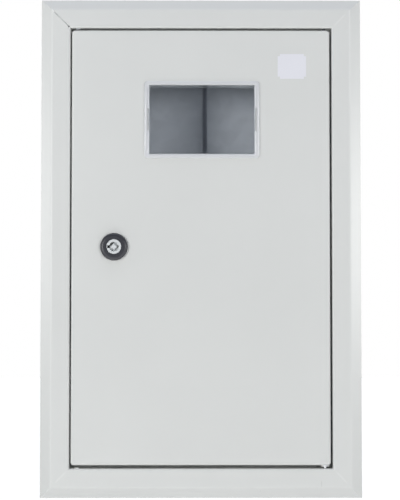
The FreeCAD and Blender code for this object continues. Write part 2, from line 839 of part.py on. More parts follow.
def make_neutral_bar_insulators():
    """Waisted insulators under the neutral bar."""
    third = post_rise / 3
    ease = insulator_radius - insulator_waist
    outline = [
        (0, bar_back),
        (insulator_radius, bar_back),
        (insulator_radius, bar_back + third),
        (insulator_waist, bar_back + third + ease),
        (insulator_waist, back_inside - third - ease),
        (insulator_radius, back_inside - third),
        (insulator_radius, back_inside),
        (0, back_inside),
    ]
    return Part.makeCompound([turned(outline, x, bar_z).cut(bar_screw_hole(x)) for x in post_places(1)])


def nut_on_stud(seat, height, x, z):
    """Hexagon nut on an earth stud, in front of its seat."""
    nut = hexagon_y(earth_nut_flats, seat - height, seat, x, z)
    return nut.cut(cylinder_y(earth_stud_radius + thread_clearance, seat - height, seat, x, z))


def make_earth_stud():
    """Earth stud on the back of the box."""
    return cylinder_y(earth_stud_radius, back_inside - earth_stud_length, back_inside,
                      0, earth_stud_height - inner_top)


def make_earth_washer():
    """Washer on the earth stud."""
    z = earth_stud_height - inner_top
    washer = cylinder_y(earth_washer_radius, back_inside - earth_washer, back_inside, 0, z)
    return washer.cut(cylinder_y(earth_stud_radius + stud_clearance, back_inside - earth_washer,
                                 back_inside, 0, z))


def make_earth_nut():
    """Nut on the earth stud."""
    return nut_on_stud(back_inside - earth_washer, earth_nut, 0, earth_stud_height - inner_top)


def door_stud_place():
    """Middle of the door's earth stud, low on the hinge side."""
    return door_right - door_stud_inset, door_bottom + door_stud_rise


def make_door_earth_stud():
    """Earth stud inside the door."""
    x, z = door_stud_place()
    return cylinder_y(earth_stud_radius, door_inside, door_inside + door_stud_length, x, z)


def make_door_earth_nut():
    """Nut on the door's earth stud."""
    x, z = door_stud_place()
    return nut_on_stud(door_inside + earth_nut, earth_nut, x, z)


def make_parts():
    """Every piece of the meter box by name."""
    return {
        "back_box": make_back_box(),
        "front_frame": make_front_frame(),
        "lower_hinge_pin": make_hinge_pin(-1),
        "upper_hinge_pin": make_hinge_pin(1),
        "spare_hinge_plugs": make_spare_hinge_plugs(),
        "meter_plate": make_meter_plate(),
        "meter_plate_studs": make_meter_plate_studs(),
        "meter_plate_nuts": make_meter_plate_nuts(),
        "din_rail": make_din_rail(),
        "left_rail_bracket": make_rail_bracket(-1),
        "right_rail_bracket": make_rail_bracket(1),
        "rail_screws": make_rail_screws(),
        "earth_bar": make_terminal_bar(-1),
        "earth_bar_posts": make_earth_bar_posts(),
        "earth_bar_screws": make_bar_screws(-1),
        "earth_clamp_screws": make_clamp_screws(-1),
        "neutral_bar": make_terminal_bar(1),
        "neutral_bar_insulators": make_neutral_bar_insulators(),
        "neutral_bar_screws": make_bar_screws(1),
        "neutral_clamp_screws": make_clamp_screws(1),
        "earth_stud": make_earth_stud(),
        "earth_washer": make_earth_washer(),
        "earth_nut": make_earth_nut(),
        "door_panel": make_door_panel(),
        "window": make_window(),
        "lower_hinge_bush": make_hinge_bush(-1),
        "upper_hinge_bush": make_hinge_bush(1),
        "lock_housing": make_lock_housing(),
        "lock_nut": make_lock_nut(),
        "door_earth_stud": make_door_earth_stud(),
        "door_earth_nut": make_door_earth_nut(),
        "lock_insert": make_lock_insert(),
        "lock_cam": make_lock_cam(),
        "cam_washer": make_cam_washer(),
        "cam_bolt": make_cam_bolt(),
    }


os.makedirs("parts", exist_ok=True)
for name, shape in make_parts().items():
    shape.exportStep("parts/" + name + ".step")
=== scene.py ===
"""Looks of a flush-mounted electric meter box, set around its CAD frame."""

import math

import bmesh
import bpy
from bpy.props import FloatProperty, FloatVectorProperty, PointerProperty
from mathutils import Matrix, Vector


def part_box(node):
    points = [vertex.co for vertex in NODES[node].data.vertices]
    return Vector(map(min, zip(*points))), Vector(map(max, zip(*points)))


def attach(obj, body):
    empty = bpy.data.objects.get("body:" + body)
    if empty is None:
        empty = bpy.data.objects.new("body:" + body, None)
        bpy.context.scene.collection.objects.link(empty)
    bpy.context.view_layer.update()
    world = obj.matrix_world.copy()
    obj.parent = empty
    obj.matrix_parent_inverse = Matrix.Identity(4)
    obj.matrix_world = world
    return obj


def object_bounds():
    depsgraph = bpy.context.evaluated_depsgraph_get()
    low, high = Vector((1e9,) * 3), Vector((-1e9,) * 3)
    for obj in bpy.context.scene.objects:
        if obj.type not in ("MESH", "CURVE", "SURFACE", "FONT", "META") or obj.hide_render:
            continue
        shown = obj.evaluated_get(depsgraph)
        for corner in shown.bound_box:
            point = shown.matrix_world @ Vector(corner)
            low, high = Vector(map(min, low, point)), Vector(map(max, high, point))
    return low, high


bl_info = {
    "name": "Electric meter box finish",
    "version": (1, 0, 0),
    "blender": (4, 5, 0),
    "location": "3D View > Sidebar > Meter Box",
    "description": "Finishes, label and studio for a flush-mounted electric meter box",
    "category": "Object",
}

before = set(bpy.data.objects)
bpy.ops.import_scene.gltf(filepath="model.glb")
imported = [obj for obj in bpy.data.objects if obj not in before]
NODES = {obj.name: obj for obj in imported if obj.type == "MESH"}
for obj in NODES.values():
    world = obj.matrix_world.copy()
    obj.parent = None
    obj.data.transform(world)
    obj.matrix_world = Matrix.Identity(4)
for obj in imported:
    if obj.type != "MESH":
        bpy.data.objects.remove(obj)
CAD_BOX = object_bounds()
MM = 0.001

# The frame's opening: the corner mitres start at its corners.
OPENING_HALF_WIDTH = 130.6 * MM
OPENING_HALF_HEIGHT = 219.5 * MM
# Ground weld along each mitre: half its width, its middle outside the opening, and how far from
# that middle it is full and where it ends.
WELD_HALF_WIDTH = 1.6 * MM
WELD_MIDDLE = 8.5 * MM
WELD_FULL, WELD_END = 3.5 * MM, 6.5 * MM
# Marks on the paint: middle and half size in millimetres, with no limit along a zero, and strength.
PAINT_MARKS = (
    ((119.2, 0, -234.3), (0.5, 0, 4.5), 0.5),  # scratch, low on the right of the frame
    ((59, 0, -241.6), (0.6, 0, 0.6), 0.7),     # fleck on the lower border
    ((-86.6, 0, -8), (34, 0, 40), 0.04),       # rub of hands round the lock
)
# Satin rim of the window: its width at the sides and at top and bottom, the width over which it
# turns clear, and its share of scattered light.
RIM_WIDTH_X, RIM_WIDTH_Z = 4.6 * MM, 3.8 * MM
RIM_FADE = 0.6 * MM
RIM_SATIN = 0.7
# Share of the pane that dust covers, and the heights over its middle where the film thins out.
FILM_LEAST, FILM_MOST = 0.015, 0.031
FILM_FULL_HEIGHT, FILM_THIN_HEIGHT = 16 * MM, 36 * MM
FILM_TOP_SHARE = 0.2
POLYAMIDE_IOR, POLYCARBONATE_IOR = 1.53, 1.585
M4_PITCH, M6_PITCH = 0.7 * MM, 1.0 * MM
WHITE = (1, 1, 1, 1)

# Name, place, width and height in metres, share of the lamp power, and colour.
LAMPS = (
    ("left_front_lamp", (-0.93, -1.28, 0.15), (0.42, 0.42), 1.0, "#FFFFFF"),
    ("right_front_lamp", (0.93, -1.28, 0.15), (0.42, 0.42), 0.74, "#FFFFFF"),
    ("left_edge_lamp", (-0.65, -0.12, 0.08), (0.28, 0.28), 0.085, "#FFFFFF"),
    ("right_edge_lamp", (0.65, -0.12, 0.05), (0.25, 0.25), 0.125, "#FFFFFF"),
    ("upper_fill", (0.0, -0.35, 0.95), (1.2, 0.5), 0.315, "#F0F3FF"),
    ("lower_fill", (0.0, -0.45, -0.7), (1.2, 0.3), 0.112, "#FFFFFF"),
    ("rear_fill", (-0.9, 1.5, 0.5), (1.0, 1.0), 0.6, "#FFFFFF"),
)
# Side of the floor in metres, and the glow that makes it nearly white where it is seen.
FLOOR_SIZE = 40
FLOOR_LIFT = 0.9
# The backdrop turns white over this share of the way from level to straight behind the box.
BACKDROP_FADE = 0.2
# Camera that fits the frame, the opening and the door, for an image 500 pixels high.
CAMERA_X, CAMERA_Z = -9.2 * MM, -77 * MM
CAMERA_YAW, CAMERA_PITCH = math.radians(0.293), math.radians(2.65)
FOCAL_PIXELS, IMAGE_HEIGHT = 1610, 500
SENSOR_HEIGHT = 24.0


def linear(code):
    """Linear colour with alpha of an sRGB hex value."""
    parts = [int(code[at:at + 2], 16) / 255 for at in (1, 3, 5)]
    return tuple(p / 12.92 if p <= 0.04045 else ((p + 0.055) / 1.055) ** 2.4 for p in parts) + (1.0,)


def add_node(tree, kind, inputs=None, **settings):
    """Add a node with its settings; an input is a value, or a socket to link from."""
    node = tree.nodes.new(kind)
    for key, value in settings.items():
        setattr(node, key, value)
    for name, value in (inputs or {}).items():
        if isinstance(value, bpy.types.NodeSocket):
            tree.links.new(value, node.inputs[name])
        else:
            node.inputs[name].default_value = value
    return node


def new_finish(name, inputs):
    """Material with a Principled shader, its node tree and the object's own coordinates."""
    material = bpy.data.materials.new(name)
    material.use_nodes = True
    tree = material.node_tree
    shader = tree.nodes["Principled BSDF"]
    for socket, value in inputs.items():
        shader.inputs[socket].default_value = value
    place = add_node(tree, "ShaderNodeTexCoord").outputs["Object"]
    return material, tree, shader, place


def spot(tree, place, middle, half):
    """1 in an ellipsoid given in millimetres and 0 outside; a zero half sets no limit that way."""
    centre = [v * MM for v in middle]
    per_half = [1 / (v * MM) if v else 0 for v in half]
    offset = add_node(tree, "ShaderNodeVectorMath", {0: place, 1: centre}, operation="SUBTRACT")
    scaled = add_node(tree, "ShaderNodeVectorMath", {0: offset.outputs[0], 1: per_half},
                      operation="MULTIPLY")
    reach = add_node(tree, "ShaderNodeVectorMath", {0: scaled.outputs[0]}, operation="LENGTH")
    edge = add_node(tree, "ShaderNodeMapRange", {
        "Value": reach.outputs["Value"], "From Min": 1.0, "From Max": 0.3},
        interpolation_type="SMOOTHSTEP")
    return edge.outputs["Result"]


def dressed_mitres(tree, place):
    """1 along the ground welds in the frame's corner mitres, 0 on the rest of it and on the door."""
    diagonal = math.sqrt(0.5)
    folded = add_node(tree, "ShaderNodeVectorMath", {0: place}, operation="ABSOLUTE").outputs[0]
    across = add_node(tree, "ShaderNodeVectorMath", {0: folded, 1: (diagonal, 0, -diagonal)},
                      operation="DOT_PRODUCT")
    aside = add_node(tree, "ShaderNodeMath", {
        0: across.outputs["Value"], 1: diagonal * (OPENING_HALF_HEIGHT - OPENING_HALF_WIDTH)})
    off_line = add_node(tree, "ShaderNodeMath", {0: aside.outputs[0]}, operation="ABSOLUTE")
    bead = add_node(tree, "ShaderNodeMapRange", {
        "Value": off_line.outputs[0], "From Min": WELD_HALF_WIDTH, "From Max": 0.0},
        interpolation_type="SMOOTHSTEP")
    outward = add_node(tree, "ShaderNodeSeparateXYZ", {0: folded})
    along = add_node(tree, "ShaderNodeMath", {
        0: outward.outputs["X"], 1: OPENING_HALF_WIDTH + WELD_MIDDLE}, operation="SUBTRACT")
    from_middle = add_node(tree, "ShaderNodeMath", {0: along.outputs[0]}, operation="ABSOLUTE")
    length = add_node(tree, "ShaderNodeMapRange", {
        "Value": from_middle.outputs[0], "From Min": WELD_END, "From Max": WELD_FULL})
    weld = add_node(tree, "ShaderNodeMath", {0: bead.outputs["Result"], 1: length.outputs["Result"]},
                    operation="MULTIPLY")
    return weld.outputs[0]


def powder_coat(colours):
    """Light grey powder coat: satin, with a soft orange peel, ground welds and a few faint marks."""
    material, tree, shader, place = new_finish("grey_powder_coat", {"IOR": 1.5})
    # Cured powder flows into waves about 3 mm apart and only some hundredths of a millimetre high.
    peel = add_node(tree, "ShaderNodeTexNoise", {
        "Vector": place, "Scale": 1 / (3 * MM), "Detail": 2.0})
    skin = add_node(tree, "ShaderNodeBump", {
        "Height": peel.outputs["Fac"], "Strength": 0.4, "Distance": 0.03 * MM})
    # The ground welds stand a few hundredths of a millimetre proud of the flats.
    mitres = dressed_mitres(tree, place)
    welds = add_node(tree, "ShaderNodeBump", {
        "Height": mitres, "Strength": 1.0, "Distance": 0.05 * MM, "Normal": skin.outputs["Normal"]})
    # Film thickness drifts over hand-sized patches and shifts the tone by about one per cent.
    drift = add_node(tree, "ShaderNodeTexNoise", {
        "Vector": place, "Scale": 1 / (90 * MM), "Detail": 3.0})
    tone = add_node(tree, "ShaderNodeMix", {
        "Factor": drift.outputs["Fac"], "A": colours.paint_thin, "B": colours.paint}, data_type="RGBA")
    rough = add_node(tree, "ShaderNodeMapRange", {
        "Value": drift.outputs["Fac"], "To Min": 0.38, "To Max": 0.46})
    seam = add_node(tree, "ShaderNodeMix", {
        "Factor": mitres, "A": tone.outputs["Result"], "B": colours.paint_thick}, data_type="RGBA")
    worn = seam.outputs["Result"]
    for middle, half, strength in PAINT_MARKS:
        mark = add_node(tree, "ShaderNodeMath", {0: spot(tree, place, middle, half), 1: strength},
                        operation="MULTIPLY")
        worn = add_node(tree, "ShaderNodeMix", {
            "Factor": mark.outputs[0], "A": worn, "B": colours.paint_worn},
            data_type="RGBA").outputs["Result"]
    tree.links.new(worn, shader.inputs["Base Color"])
    tree.links.new(rough.outputs["Result"], shader.inputs["Roughness"])
    tree.links.new(welds.outputs["Normal"], shader.inputs["Normal"])
    return material


def galvanised_sheet(colours):
    """Hot-dip zinc on sheet steel, dulled by a white bloom: cool grey, faint crystals 9 mm across."""
    material, tree, shader, place = new_finish("galvanised_sheet", {"Metallic": 0.25})
    crystals = add_node(tree, "ShaderNodeTexVoronoi", {"Vector": place, "Scale": 1 / (9 * MM)})
    split = add_node(tree, "ShaderNodeSeparateColor", {"Color": crystals.outputs["Color"]})
    tone = add_node(tree, "ShaderNodeMix", {
        "Factor": split.outputs["Red"], "A": colours.zinc_dull, "B": colours.zinc_bright},
        data_type="RGBA")
    rough = add_node(tree, "ShaderNodeMapRange", {
        "Value": split.outputs["Green"], "To Min": 0.5, "To Max": 0.6})
    tree.links.new(tone.outputs["Result"], shader.inputs["Base Color"])
    tree.links.new(rough.outputs["Result"], shader.inputs["Roughness"])
    return material


def treated_steel(name, colour, pitch=0.0):
    """Zinc plate on small steel pieces, or a dark tone as painted shade: handling marks, and a thread on
    the studs.
    """
    material, tree, shader, place = new_finish(name, {"Metallic": 1.0, "Base Color": colour})
    marks = add_node(tree, "ShaderNodeTexNoise", {
        "Vector": place, "Scale": 1 / (1.5 * MM), "Detail": 4.0})
    rough = add_node(tree, "ShaderNodeMapRange", {
        "Value": marks.outputs["Fac"], "To Min": 0.24, "To Max": 0.42})
    tree.links.new(rough.outputs["Result"], shader.inputs["Roughness"])
    if pitch:
        # A wave texture repeats every 2 pi / 20 of its scaled length.
        thread = add_node(tree, "ShaderNodeTexWave", {
            "Vector": place, "Scale": math.pi / 10 / pitch}, bands_direction="Y", wave_profile="TRI")
        cut = add_node(tree, "ShaderNodeBump", {
            "Height": thread.outputs["Fac"], "Strength": 0.8, "Distance": 0.5 * pitch})
        tree.links.new(cut.outputs["Normal"], shader.inputs["Normal"])
    return material


def natural_nylon(colours):
    """Moulded natural nylon: milky, with a dull skin and a little light inside."""
    material, tree, shader, place = new_finish("natural_nylon", {
        "Roughness": 0.48, "IOR": POLYAMIDE_IOR, "Subsurface Weight": 0.15,
        "Subsurface Radius": (1.2 * MM, 1.0 * MM, 0.8 * MM)})
    flow = add_node(tree, "ShaderNodeTexNoise", {"Vector": place, "Scale": 1 / (4 * MM)})
    tone = add_node(tree, "ShaderNodeMix", {
        "Factor": flow.outputs["Fac"], "A": colours.nylon_shade, "B": colours.nylon},
        data_type="RGBA")
    # Painted shade darkens the plug in the upper spare hole, which sits in the shaded top gap.
    low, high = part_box("spare_hinge_plugs")
    upper_plug = ((low.x + high.x) / 2 / MM, (low.y + high.y) / 2 / MM, high.z / MM)
    dust_and_shade = spot(tree, place, upper_plug, (10, 10, 14))
    dusty_and_shaded = add_node(tree, "ShaderNodeMix", {
        "Factor": dust_and_shade, "A": tone.outputs["Result"], "B": colours.nylon_painted_shade}, data_type="RGBA")
    tree.links.new(dusty_and_shaded.outputs["Result"], shader.inputs["Base Color"])
    return material


def drawn_brass(colours):
    """Drawn brass bar: warm metal with lines along its length and darker patches of tarnish."""
    material, tree, shader, place = new_finish("drawn_brass", {"Metallic": 1.0})
    # The real lines are under 0.1 mm apart; they are drawn at 0.6 mm so that they show.
    stretch = add_node(tree, "ShaderNodeMapping", {"Vector": place, "Scale": (0.04, 1.0, 1.0)})
    lines = add_node(tree, "ShaderNodeTexNoise", {
        "Vector": stretch.outputs["Vector"], "Scale": 1 / (0.6 * MM)})
    rough = add_node(tree, "ShaderNodeMapRange", {
        "Value": lines.outputs["Fac"], "To Min": 0.22, "To Max": 0.4})
    patch = add_node(tree, "ShaderNodeTexNoise", {
        "Vector": place, "Scale": 1 / (12 * MM), "Detail": 3.0})
    tone = add_node(tree, "ShaderNodeMix", {
        "Factor": patch.outputs["Fac"], "A": colours.brass_tarnish, "B": colours.brass},
        data_type="RGBA")
    tree.links.new(tone.outputs["Result"], shader.inputs["Base Color"])
    tree.links.new(rough.outputs["Result"], shader.inputs["Roughness"])
    return material


def moulded_polyamide(name, deep, pale, roughness):
    """Moulded polyamide: satin, with a fine spark-eroded grain, drawn at 0.8 mm so that it shows."""
    material, tree, shader, place = new_finish(name, {"Roughness": roughness, "IOR": POLYAMIDE_IOR})
    grain = add_node(tree, "ShaderNodeTexNoise", {
        "Vector": place, "Scale": 1 / (0.8 * MM), "Detail": 3.0})
    tone = add_node(tree, "ShaderNodeMix", {"Factor": grain.outputs["Fac"], "A": deep, "B": pale},
                    data_type="RGBA")
    bump = add_node(tree, "ShaderNodeBump", {
        "Height": grain.outputs["Fac"], "Strength": 0.3, "Distance": 0.04 * MM})
    tree.links.new(tone.outputs["Result"], shader.inputs["Base Color"])
    tree.links.new(bump.outputs["Normal"], shader.inputs["Normal"])
    return material


def clear_polycarbonate(colours):
    """Clear moulded polycarbonate: a polished pane, slightly dusty, and a satin rim that looks pale."""
    material, tree, shader, place = new_finish("clear_polycarbonate", {
        "Base Color": colours.window, "Roughness": 0.03, "IOR": POLYCARBONATE_IOR,
        "Transmission Weight": 1.0})
    # Light for the inside passes straight through the thin pane.
    path = add_node(tree, "ShaderNodeLightPath")
    lights = add_node(tree, "ShaderNodeMath", {
        0: path.outputs["Is Shadow Ray"], 1: path.outputs["Is Diffuse Ray"]}, operation="MAXIMUM")
    clear = add_node(tree, "ShaderNodeBsdfTransparent", {"Color": colours.window})
    pane = add_node(tree, "ShaderNodeMixShader", {
        "Fac": lights.outputs[0], 1: shader.outputs["BSDF"], 2: clear.outputs["BSDF"]})
    # The rim is what lies within its width of the window's outline.
    low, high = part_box("window")
    offset = add_node(tree, "ShaderNodeVectorMath", {0: place, 1: (low + high) / 2},
                      operation="SUBTRACT")
    folded = add_node(tree, "ShaderNodeVectorMath", {0: offset.outputs[0]}, operation="ABSOLUTE")
    apart = add_node(tree, "ShaderNodeSeparateXYZ", {0: folded.outputs[0]})
    inner_x = (high.x - low.x) / 2 - RIM_WIDTH_X
    inner_z = (high.z - low.z) / 2 - RIM_WIDTH_Z
    beyond = [
        add_node(tree, "ShaderNodeMapRange", {
            "Value": apart.outputs[axis], "From Min": inner - RIM_FADE, "From Max": inner,
            "To Max": RIM_SATIN}).outputs[0]
        for axis, inner in (("X", inner_x), ("Z", inner_z))]
    rim = add_node(tree, "ShaderNodeMath", {0: beyond[0], 1: beyond[1]}, operation="MAXIMUM")
    satin = add_node(tree, "ShaderNodeBsdfPrincipled", {
        "Base Color": colours.window_rim, "Roughness": 0.2, "IOR": POLYCARBONATE_IOR})
    # A thin film of dust and fine rub marks veils the pane, least at its top.
    patches = add_node(tree, "ShaderNodeTexNoise", {
        "Vector": place, "Scale": 1 / (14 * MM), "Detail": 4.0})
    film = add_node(tree, "ShaderNodeMapRange", {
        "Value": patches.outputs["Fac"], "To Min": FILM_LEAST, "To Max": FILM_MOST})
    height = add_node(tree, "ShaderNodeSeparateXYZ", {0: offset.outputs[0]})
    settled = add_node(tree, "ShaderNodeMapRange", {
        "Value": height.outputs["Z"], "From Min": FILM_THIN_HEIGHT, "From Max": FILM_FULL_HEIGHT,
        "To Min": FILM_TOP_SHARE})
    veil = add_node(tree, "ShaderNodeMath", {
        0: film.outputs["Result"], 1: settled.outputs["Result"]}, operation="MULTIPLY")
    dust_and_shade = add_node(tree, "ShaderNodeBsdfDiffuse", {"Color": colours.window_dust})
    dusty_and_shaded = add_node(tree, "ShaderNodeMixShader", {
        "Fac": veil.outputs[0], 1: pane.outputs["Shader"], 2: dust_and_shade.outputs["BSDF"]})
    whole = add_node(tree, "ShaderNodeMixShader", {
        "Fac": rim.outputs[0], 1: dusty_and_shaded.outputs["Shader"], 2: satin.outputs["BSDF"]})
    tree.links.new(whole.outputs["Shader"], tree.nodes["Material Output"].inputs["Surface"])
    return material


def nickel_plate(colours):
    """Satin nickel on die-cast zinc: pale metal, dulled and slightly uneven from the casting, with
    painted shade in the key recess.
    """
    material, tree, shader, place = new_finish("nickel_plated_zinc", {"Metallic": 0.7})
    skin = add_node(tree, "ShaderNodeTexNoise", {
        "Vector": place, "Scale": 1 / (2 * MM), "Detail": 3.0})
    rough = add_node(tree, "ShaderNodeMapRange", {
        "Value": skin.outputs["Fac"], "To Min": 0.42, "To Max": 0.56})
    bump = add_node(tree, "ShaderNodeBump", {
        "Height": skin.outputs["Fac"], "Strength": 0.3, "Distance": 0.03 * MM})
    low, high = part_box("lock_insert")
    middle = (low + high) / (2 * MM)
    # Painted shade in the key recess, which is 3.6 mm deep: the rim's shadow on its upper left, and the
    # shaded side of the pin on its right.
    recess_floor = low.y / MM + 3.6
    shadow_left_of_pin = spot(tree, place, (middle.x - 2.2, recess_floor, middle.z + 2.6), (4.0, 2.6, 3.6))
    shade_right_of_pin = spot(tree, place, (middle.x + 4.0, recess_floor, middle.z + 0.2), (2.0, 2.6, 2.4))
    recess_shade_mask = add_node(tree, "ShaderNodeMath", {0: shadow_left_of_pin, 1: shade_right_of_pin}, operation="MAXIMUM")
    recess = add_node(tree, "ShaderNodeMix", {
        "Factor": recess_shade_mask.outputs[0], "A": colours.nickel, "B": colours.painted_recess_shade}, data_type="RGBA")
    # The pointer notch, left of the lock's axis, is coloured near black.
    notch = spot(tree, place, (middle.x - 5.7, low.y / MM + 4, middle.z), (2.6, 3.95, 3.2))
    tone = add_node(tree, "ShaderNodeMix", {
        "Factor": notch, "A": recess.outputs["Result"], "B": colours.lock_deep}, data_type="RGBA")
    tree.links.new(tone.outputs["Result"], shader.inputs["Base Color"])
    tree.links.new(rough.outputs["Result"], shader.inputs["Roughness"])
    tree.links.new(bump.outputs["Normal"], shader.inputs["Normal"])
    return material


def coated_paper(colours):
    """Blank coated paper: pale, with a soft sheen and faint fibres, drawn at 1.2 mm so that they show."""
    material, tree, shader, place = new_finish("coated_paper", {"Roughness": 0.35, "IOR": 1.48})
    fibre = add_node(tree, "ShaderNodeTexNoise", {
        "Vector": place, "Scale": 1 / (1.2 * MM), "Detail": 3.0})
    tone = add_node(tree, "ShaderNodeMix", {
        "Factor": fibre.outputs["Fac"], "A": colours.label_shade, "B": colours.label},
        data_type="RGBA")
    tree.links.new(tone.outputs["Result"], shader.inputs["Base Color"])
    return material


def finish_nodes(names, material):
    """Give CAD nodes a finish."""
    for name in names:
        mesh = NODES[name].data
        mesh.materials.clear()
        mesh.materials.append(material)


COLOUR = {"subtype": "COLOR", "size": 4, "min": 0, "max": 1}


class MeterBoxColours(bpy.types.PropertyGroup):
    """Colours of the finishes and of the even light."""
    paint: FloatVectorProperty(
        name="Paint", description="Powder coat at full thickness",
        default=linear("#D7D8D5"), **COLOUR)
    paint_thin: FloatVectorProperty(
        name="Thin paint", description="Powder coat where it is thinnest",
        default=linear("#D3D4D1"), **COLOUR)
    paint_thick: FloatVectorProperty(
        name="Thick paint", description="Powder coat over the ground welds",
        default=linear("#DBDCD9"), **COLOUR)
    paint_worn: FloatVectorProperty(
        name="Worn paint", description="Powder coat where it is rubbed or scratched",
        default=linear("#B6B7B4"), **COLOUR)
    zinc_dull: FloatVectorProperty(
        name="Dull zinc", description="Darkest zinc crystals",
        default=linear("#C8CCD0"), **COLOUR)
    zinc_bright: FloatVectorProperty(
        name="Bright zinc", description="Brightest zinc crystals",
        default=linear("#D0D4D8"), **COLOUR)
    zinc_plate: FloatVectorProperty(
        name="Zinc plate", description="Plated fasteners, rail and cam",
        default=linear("#D2D4D5"), **COLOUR)
    # Painted shade for the upper hinge pin in the top gap.
    upper_pin_shade: FloatVectorProperty(
        name="Black oxide", description="Upper hinge pin",
        default=linear("#4A4B4E"), **COLOUR)
    nylon: FloatVectorProperty(
        name="Nylon", description="Hinge bushes and plugs",
        default=linear("#E9EAEA"), **COLOUR)
    nylon_shade: FloatVectorProperty(
        name="Nylon shade", description="Darker flow lines in the nylon",
        default=linear("#DCDDDD"), **COLOUR)
    # Painted shade for the plug in the upper spare hole.
    nylon_painted_shade: FloatVectorProperty(
        name="Dusty nylon", description="Plug in the upper spare hole",
        default=linear("#C6C9CC"), **COLOUR)
    brass: FloatVectorProperty(
        name="Brass", description="Terminal bars",
        default=linear("#D9B978"), **COLOUR)
    brass_tarnish: FloatVectorProperty(
        name="Tarnished brass", description="Darker patches on the bars",
        default=linear("#B8975A"), **COLOUR)
    insulator: FloatVectorProperty(
        name="Insulator", description="Neutral bar's insulators",
        default=linear("#3F64AE"), **COLOUR)
    insulator_deep: FloatVectorProperty(
        name="Insulator shade", description="Darker grain of the insulators",
        default=linear("#38599C"), **COLOUR)
    window: FloatVectorProperty(
        name="Window", description="Tint of the clear window",
        default=linear("#FDFEFF"), **COLOUR)
    window_rim: FloatVectorProperty(
        name="Window rim", description="Light scattered by the window's satin rim",
        default=linear("#F0F1F3"), **COLOUR)
    window_dust: FloatVectorProperty(
        name="Window dust", description="Thin film of dust on the window",
        default=linear("#D2DDF2"), **COLOUR)
    lock: FloatVectorProperty(
        name="Lock", description="Lock housing",
        default=linear("#2B2C33"), **COLOUR)
    lock_deep: FloatVectorProperty(
        name="Lock shade", description="Darker grain of the lock housing, and its pointer notch",
        default=linear("#222329"), **COLOUR)
    nickel: FloatVectorProperty(
        name="Nickel", description="Turning insert of the lock",
        default=linear("#CED1D2"), **COLOUR)
    # Painted shade in the lock's key recess.
    painted_recess_shade: FloatVectorProperty(
        name="Grease", description="Old grease in the lock's key recess",
        default=linear("#6E6F6C"), **COLOUR)
    label: FloatVectorProperty(
        name="Label", description="Blank paper label",
        default=linear("#E5E5EA"), **COLOUR)
    label_shade: FloatVectorProperty(
        name="Label shade", description="Fibres in the blank label",
        default=linear("#DFDFE4"), **COLOUR)
    ambient: FloatVectorProperty(
        name="Ambient light", description="Even light from all around, slightly cool",
        default=linear("#E4EFFF"), **COLOUR)


class MeterBoxSizes(bpy.types.PropertyGroup):
    """Sizes of what is added to the CAD frame, and of the studio."""
    label_width: FloatProperty(
        name="Label width", description="Width of the blank label",
        default=28.4 * MM, min=MM, unit="LENGTH")
    label_height: FloatProperty(
        name="Label height", description="Height of the blank label",
        default=25.0 * MM, min=MM, unit="LENGTH")
    label_corner: FloatProperty(
        name="Label corner", description="Corner radius of the blank label",
        default=2.2 * MM, min=0, unit="LENGTH")
    label_thickness: FloatProperty(
        name="Label thickness", description="Thickness of the blank label",
        default=0.15 * MM, min=0, unit="LENGTH")
    label_gap: FloatProperty(
        name="Label gap", description="Gap between the label's back and the door's face",
        default=0.02 * MM, min=0, unit="LENGTH")
    label_x: FloatProperty(
        name="Label place across", description="Middle of the label, from the middle of the box",
        default=90.9 * MM, unit="LENGTH")
    label_z: FloatProperty(
        name="Label place up", description="Middle of the label, from the middle of the box",
        default=181.0 * MM, unit="LENGTH")
    camera_distance: FloatProperty(
        name="Camera distance", description="Camera to the frame's front face",
        default=1.6, min=0.1, unit="LENGTH")
    floor_drop: FloatProperty(
        name="Floor drop", description="Lower edge of the box to the floor",
        default=0.55, min=0, unit="LENGTH")
    ambient: FloatProperty(
        name="Ambient strength", description="Strength of the even light from all around",
        default=0.15, min=0)
    lamp_power: FloatProperty(
        name="Lamp power", description="Power of the stronger of the two front lamps",
        default=10.45, min=0, unit="POWER")


class METERBOX_OT_painted_steel(bpy.types.Operator):
    """Powder coat the front frame and the door"""
    bl_idname = "meterbox.painted_steel"
    bl_label = "Painted frame and door"

    def execute(self, context):
        finish_nodes(["front_frame", "door_panel"], powder_coat(context.scene.meterbox_colours))
        return {"FINISHED"}


class METERBOX_OT_galvanised_steel(bpy.types.Operator):
    """Galvanise the back box, the meter plate and the rail brackets"""
    bl_idname = "meterbox.galvanised_steel"
    bl_label = "Galvanised box and plate"

    def execute(self, context):
        names = ["back_box", "meter_plate", "left_rail_bracket", "right_rail_bracket"]
        finish_nodes(names, galvanised_sheet(context.scene.meterbox_colours))
        return {"FINISHED"}


class METERBOX_OT_plated_fittings(bpy.types.Operator):
    """Zinc plate the rail, studs, nuts, screws, posts, cam and lower pin, and colour the upper pin dark
    as painted shade
    """
    bl_idname = "meterbox.plated_fittings"
    bl_label = "Plated fittings"

    def execute(self, context):
        colours = context.scene.meterbox_colours
        names = ["din_rail", "rail_screws", "lower_hinge_pin", "meter_plate_nuts", "earth_bar_posts",
                 "earth_bar_screws", "earth_clamp_screws", "neutral_bar_screws",
                 "neutral_clamp_screws", "earth_washer", "earth_nut", "door_earth_nut", "lock_nut",
                 "lock_cam", "cam_washer", "cam_bolt"]
        finish_nodes(names, treated_steel("zinc_plated_steel", colours.zinc_plate))
        finish_nodes(["meter_plate_studs"],
                     treated_steel("zinc_plated_m4_thread", colours.zinc_plate, M4_PITCH))
        finish_nodes(["earth_stud", "door_earth_stud"],
                     treated_steel("zinc_plated_m6_thread", colours.zinc_plate, M6_PITCH))
        # The upper hinge pin is coloured dark as painted shade for the shaded top gap it sits in.
        finish_nodes(["upper_hinge_pin"], treated_steel("painted_shade_steel", colours.upper_pin_shade))
        return {"FINISHED"}


